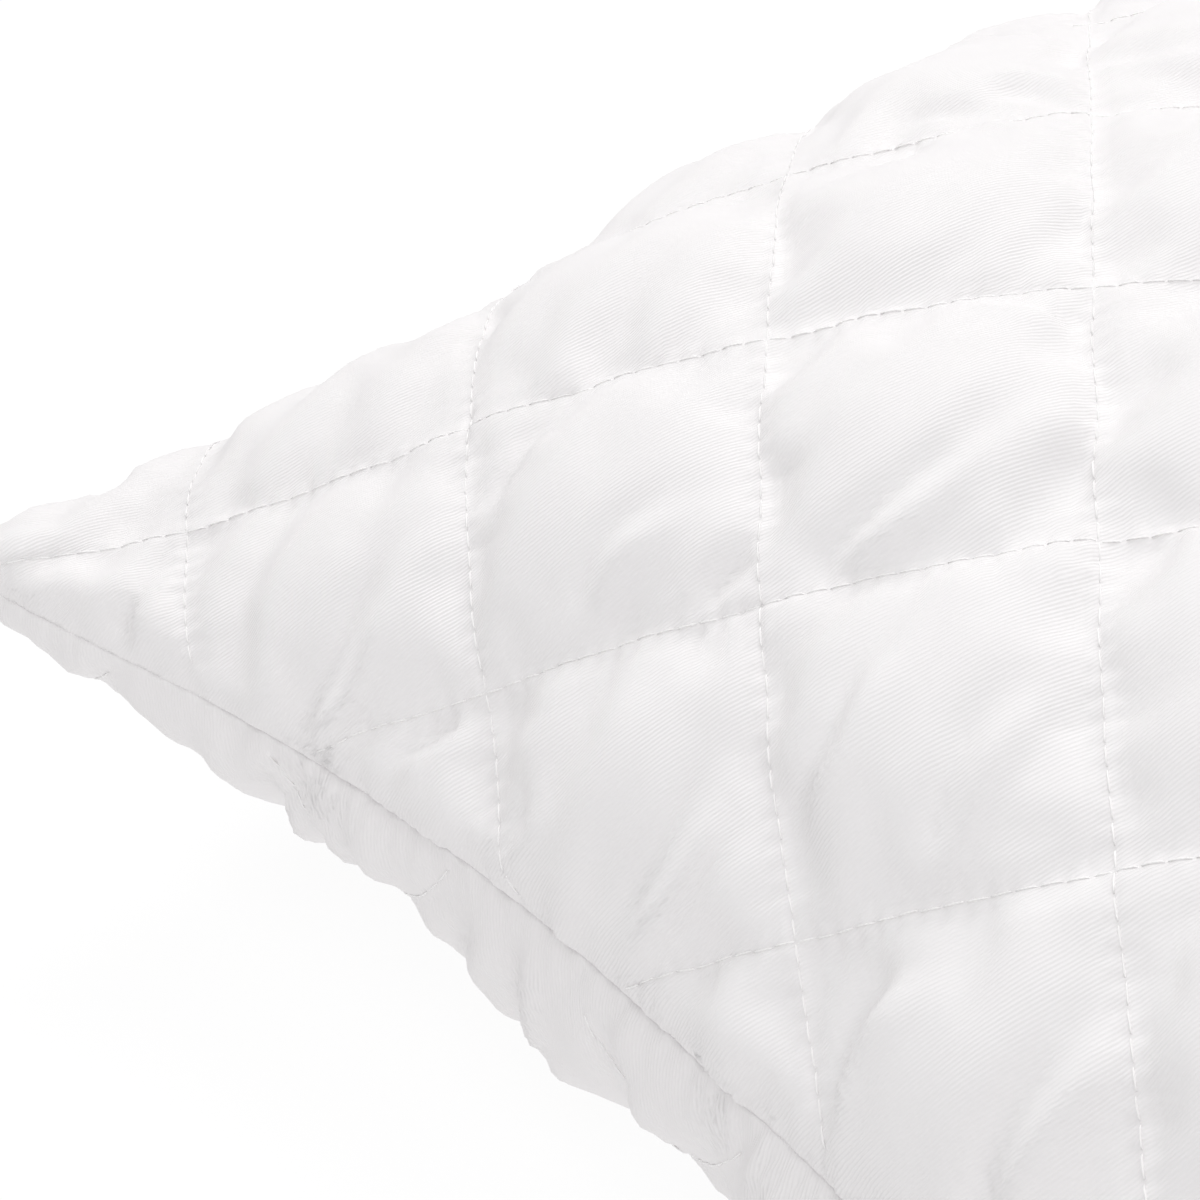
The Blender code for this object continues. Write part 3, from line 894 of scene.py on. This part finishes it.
print("making the seam, the filling and the label")
seamStitches = edgeSeamStitches("edge_seam_stitches")
slipStitches = closingStitches("closing_slip_stitches")
filling = fibreFilling("fibre_filling")
ribbon = careLabel("blank_care_label")
for thing, node, slotName in (
    (seamStitches, "edge_seam_thread", "seam_thread"),
    (slipStitches, "closing_thread", "seam_thread"),
    (filling, "fibre_fill", "fibre"),
    (ribbon, "care_label", "label_satin"),
):
    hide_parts(node)
    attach(thing, "root")


def nodeTools(name):
    paint = bpy.data.materials.new(name)
    paint.use_nodes = True
    nodes, links = paint.node_tree.nodes, paint.node_tree.links

    def add(kind, **settings):
        node = nodes.new(kind)
        for key, value in settings.items():
            if key.startswith("in_"):
                node.inputs[key[3:]].default_value = value
            else:
                setattr(node, key, value)
        return node
    return paint, nodes["Principled BSDF"], add, links.new


cotton = {
    "colour": (0.893, 0.876, 0.880, 1),
    "shade": (0.862, 0.842, 0.847, 1),
    "wale": 0.00080,          # distance between the twill's diagonal ribs
    "across": (0.92, -0.39, 0),   # the way square to the ribs, on the flat cloth
    "weaveDepth": 0.00007,
    "weaveStrength": 0.55,
    "grain": 900.0,           # texture scale of the single yarns
    "wander": 0.00004,        # how far the yarns push a rib aside
    "fuzz": 0.9,
    "slub": 60.0,
    "ribTone": 0.18,
    "roughness": (0.74, 0.86),
    "sheen": (0.06, 0.55),    # weight and roughness
    "specular": 0.14,
}


def cottonTwill(name, finish):
    paint, shader, add, link = nodeTools(name)
    uv = add("ShaderNodeUVMap", uv_map=panel["bakeUV"])
    metres = add("ShaderNodeVectorMath", operation="SCALE")
    metres.inputs["Scale"].default_value = panel["bakeWidth"]
    link(uv.outputs["UV"], metres.inputs[0])
    grain = add("ShaderNodeTexNoise", in_Scale=finish["grain"], in_Detail=2.0)
    link(metres.outputs[0], grain.inputs["Vector"])
    wobble = add("ShaderNodeVectorMath", operation="MULTIPLY_ADD")
    wobble.inputs[1].default_value = (finish["wander"], finish["wander"], 0)
    link(grain.outputs["Color"], wobble.inputs[0])
    link(metres.outputs[0], wobble.inputs[2])
    lean = add("ShaderNodeVectorMath", operation="DOT_PRODUCT")
    turns = 2 * math.pi / finish["wale"]
    lean.inputs[1].default_value = tuple(part * turns for part in finish["across"])
    link(wobble.outputs[0], lean.inputs[0])
    rib = add("ShaderNodeMath", operation="SINE")
    link(lean.outputs["Value"], rib.inputs[0])
    fuzz = add("ShaderNodeMath", operation="MULTIPLY_ADD")
    fuzz.inputs[1].default_value = finish["fuzz"]
    link(grain.outputs["Fac"], fuzz.inputs[0])
    link(rib.outputs[0], fuzz.inputs[2])
    bump = add("ShaderNodeBump", in_Strength=finish["weaveStrength"],
               in_Distance=finish["weaveDepth"])
    link(fuzz.outputs[0], bump.inputs["Height"])
    slub = add("ShaderNodeTexNoise", in_Scale=finish["slub"], in_Detail=4.0)
    link(metres.outputs[0], slub.inputs["Vector"])
    ramp = add("ShaderNodeMix", data_type="RGBA")
    ramp.inputs[6].default_value = finish["shade"]
    ramp.inputs[7].default_value = finish["colour"]
    tone = add("ShaderNodeMath", operation="MULTIPLY_ADD", use_clamp=True)
    tone.inputs[1].default_value = finish["ribTone"]
    link(rib.outputs[0], tone.inputs[0])
    link(slub.outputs["Fac"], tone.inputs[2])
    link(tone.outputs[0], ramp.inputs[0])
    link(ramp.outputs[2], shader.inputs["Base Color"])
    rough = add("ShaderNodeMapRange")
    rough.inputs["To Min"].default_value, rough.inputs["To Max"].default_value = finish["roughness"]
    link(slub.outputs["Fac"], rough.inputs["Value"])
    link(rough.outputs[0], shader.inputs["Roughness"])
    link(bump.outputs[0], shader.inputs["Normal"])
    shader.inputs["Sheen Weight"].default_value = finish["sheen"][0]
    shader.inputs["Sheen Roughness"].default_value = finish["sheen"][1]
    shader.inputs["Specular IOR Level"].default_value = finish["specular"]
    return paint


cottonThread = {
    "colour": (0.95, 0.94, 0.938, 1),
    "shade": (0.89, 0.88, 0.878, 1),
    "twist": 420.0,
    "twistBend": 2.5,
    "relief": (0.5, 0.00005),    # strength and depth
    "roughness": (0.5, 0.68),
    "sheen": 0.3,
}


def spunThread(name, finish):
    # plied thread: fine slanted bands
    paint, shader, add, link = nodeTools(name)
    coords = add("ShaderNodeTexCoord")
    bands = add("ShaderNodeTexWave", in_Scale=finish["twist"],
                in_Distortion=finish["twistBend"], in_Detail=2.0)
    bands.bands_direction = "DIAGONAL"
    link(coords.outputs["Object"], bands.inputs["Vector"])
    mix = add("ShaderNodeMix", data_type="RGBA")
    mix.inputs[6].default_value = finish["shade"]
    mix.inputs[7].default_value = finish["colour"]
    link(bands.outputs["Fac"], mix.inputs[0])
    link(mix.outputs[2], shader.inputs["Base Color"])
    strength, depth = finish["relief"]
    bump = add("ShaderNodeBump", in_Strength=strength, in_Distance=depth)
    link(bands.outputs["Fac"], bump.inputs["Height"])
    link(bump.outputs[0], shader.inputs["Normal"])
    rough = add("ShaderNodeMapRange")
    rough.inputs["To Min"].default_value, rough.inputs["To Max"].default_value = finish["roughness"]
    link(bands.outputs["Fac"], rough.inputs["Value"])
    link(rough.outputs[0], shader.inputs["Roughness"])
    shader.inputs["Sheen Weight"].default_value = finish["sheen"]
    return paint


cottonPaint = cottonTwill("whiteCottonTwill", cotton)
threadPaint = spunThread("quiltingThread", cottonThread)
for thing in (topPanel, bottomPanel):
    thing.data.materials.append(cottonPaint)
for thing in (topStitches, bottomStitches):
    thing.data.materials.append(threadPaint)
for thing in (seamStitches, slipStitches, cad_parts["overlock_thread"]):
    thing.data.materials.clear()
    thing.data.materials.append(threadPaint)


polyester = {
    "colour": (0.93, 0.93, 0.92, 1),
    "shade": (0.80, 0.80, 0.79, 1),
    "hair": 160.0,
    "tangle": 2.4,
    "relief": (0.8, 0.0008),
    "roughness": (0.8, 0.98),
    "sheen": 0.5,
}


def looseFibre(name, finish):
    # fine hairs in every direction
    paint, shader, add, link = nodeTools(name)
    coords = add("ShaderNodeTexCoord")
    hair = add("ShaderNodeTexNoise", in_Scale=finish["hair"], in_Detail=6.0,
               in_Distortion=finish["tangle"])
    link(coords.outputs["Object"], hair.inputs["Vector"])
    tone = add("ShaderNodeMix", data_type="RGBA")
    tone.inputs[6].default_value = finish["shade"]
    tone.inputs[7].default_value = finish["colour"]
    link(hair.outputs["Fac"], tone.inputs[0])
    link(tone.outputs[2], shader.inputs["Base Color"])
    strength, depth = finish["relief"]
    bump = add("ShaderNodeBump", in_Strength=strength, in_Distance=depth)
    link(hair.outputs["Fac"], bump.inputs["Height"])
    link(bump.outputs[0], shader.inputs["Normal"])
    rough = add("ShaderNodeMapRange")
    rough.inputs["To Min"].default_value, rough.inputs["To Max"].default_value = finish["roughness"]
    link(hair.outputs["Fac"], rough.inputs["Value"])
    link(rough.outputs[0], shader.inputs["Roughness"])
    shader.inputs["Sheen Weight"].default_value = finish["sheen"]
    return paint


satin = {
    "colour": (0.92, 0.92, 0.91, 1),
    "shade": (0.82, 0.82, 0.81, 1),
    "warp": 620.0,
    "warpBend": 0.4,
    "slub": 400.0,
    "relief": (0.4, 0.00004),
    "roughness": (0.28, 0.46),
    "sheen": 0.15,
}


def satinRibbon(name, finish):
    # close warp threads along the ribbon, with a soft gloss
    paint, shader, add, link = nodeTools(name)
    coords = add("ShaderNodeTexCoord")
    turned = add("ShaderNodeMapping")
    turned.inputs["Rotation"].default_value = (0, 0, -label["turn"])
    link(coords.outputs["Object"], turned.inputs["Vector"])
    warp = add("ShaderNodeTexWave", in_Scale=finish["warp"],
               in_Distortion=finish["warpBend"], in_Detail=1.0)
    link(turned.outputs[0], warp.inputs["Vector"])
    slub = add("ShaderNodeTexNoise", in_Scale=finish["slub"], in_Detail=3.0)
    link(turned.outputs[0], slub.inputs["Vector"])
    tone = add("ShaderNodeMix", data_type="RGBA")
    tone.inputs[6].default_value = finish["shade"]
    tone.inputs[7].default_value = finish["colour"]
    link(warp.outputs["Fac"], tone.inputs[0])
    link(tone.outputs[2], shader.inputs["Base Color"])
    strength, depth = finish["relief"]
    bump = add("ShaderNodeBump", in_Strength=strength, in_Distance=depth)
    link(warp.outputs["Fac"], bump.inputs["Height"])
    link(bump.outputs[0], shader.inputs["Normal"])
    rough = add("ShaderNodeMapRange")
    rough.inputs["To Min"].default_value, rough.inputs["To Max"].default_value = finish["roughness"]
    link(slub.outputs["Fac"], rough.inputs["Value"])
    link(rough.outputs[0], shader.inputs["Roughness"])
    shader.inputs["Sheen Weight"].default_value = finish["sheen"]
    return paint


filling.data.materials.append(looseFibre("loosePolyesterFibre", polyester))
ribbon.data.materials.append(satinRibbon("satinRibbon", satin))


studio = {
    "cameraAt": (0.2645, -0.5422, 0.4783),
    "cameraForward": (-0.6268, 0.4779, -0.6155),
    "roll": -0.003,
    "lens": 82.1,
    "sensor": 36,
    "clip": 0.05,
    "floorReach": 6,
    "floorDrop": 0.0002,         # keeps the floor just clear of the cloth
    "floorColour": (0.16, 0.16, 0.16, 1),
    "floorRoughness": 0.9,
    "floorGlow": 0.85,
    "white": (1, 1, 1, 1),
    "surroundGlow": 0.48,
    "lampsAimAt": (0, 0, 0.1),
    "lamps": (("softboxLeft", (-1.25, 0.55, 1.75), 0.9, 14),
              ("softboxOverhead", (-0.5, 0.4, 2.4), 3.0, 15),
              ("softboxFront", (0.7, -0.9, 1.8), 1.6, 13.5)),
}


def setUpStudio():
    floorMesh = bpy.data.meshes.new("floor")
    reach = studio["floorReach"]
    corners = [(-reach, -reach, 0), (reach, -reach, 0), (reach, reach, 0), (-reach, reach, 0)]
    floorMesh.from_pydata(corners, [], [(0, 1, 2, 3)])
    floor = newObject("floor", floorMesh)
    floor.location.z = -studio["floorDrop"]
    paint = bpy.data.materials.new("studioFloor")
    paint.use_nodes = True
    shader = paint.node_tree.nodes["Principled BSDF"]
    shader.inputs["Base Color"].default_value = studio["floorColour"]
    shader.inputs["Roughness"].default_value = studio["floorRoughness"]
    shader.inputs["Specular IOR Level"].default_value = 0.0
    shader.inputs["Emission Color"].default_value = studio["white"]
    shader.inputs["Emission Strength"].default_value = studio["floorGlow"]
    floorMesh.materials.append(paint)
    world = bpy.data.worlds.new("studio")
    scene.world = world
    world.use_nodes = True
    surround = world.node_tree.nodes["Background"]
    surround.inputs["Color"].default_value = studio["white"]
    surround.inputs["Strength"].default_value = studio["surroundGlow"]
    for name, place, size, power in studio["lamps"]:
        data = bpy.data.lights.new(name, "AREA")
        data.size = size
        data.energy = power
        lamp = bpy.data.objects.new(name, data)
        scene.collection.objects.link(lamp)
        lamp.location = place
        aim = -Vector(place) + Vector(studio["lampsAimAt"])
        lamp.rotation_euler = aim.to_track_quat("-Z", "Y").to_euler()
    data = bpy.data.cameras.new("camera")
    data.lens = studio["lens"]
    data.sensor_width = studio["sensor"]
    data.clip_start = studio["clip"]
    camera = bpy.data.objects.new("camera", data)
    scene.collection.objects.link(camera)
    camera.location = studio["cameraAt"]
    turn = Vector(studio["cameraForward"]).to_track_quat("-Z", "Y")
    camera.rotation_euler = (turn @ Quaternion((0, 0, 1), studio["roll"])).to_euler()
    scene.camera = camera
    scene.view_settings.view_transform = "Standard"


setUpStudio()
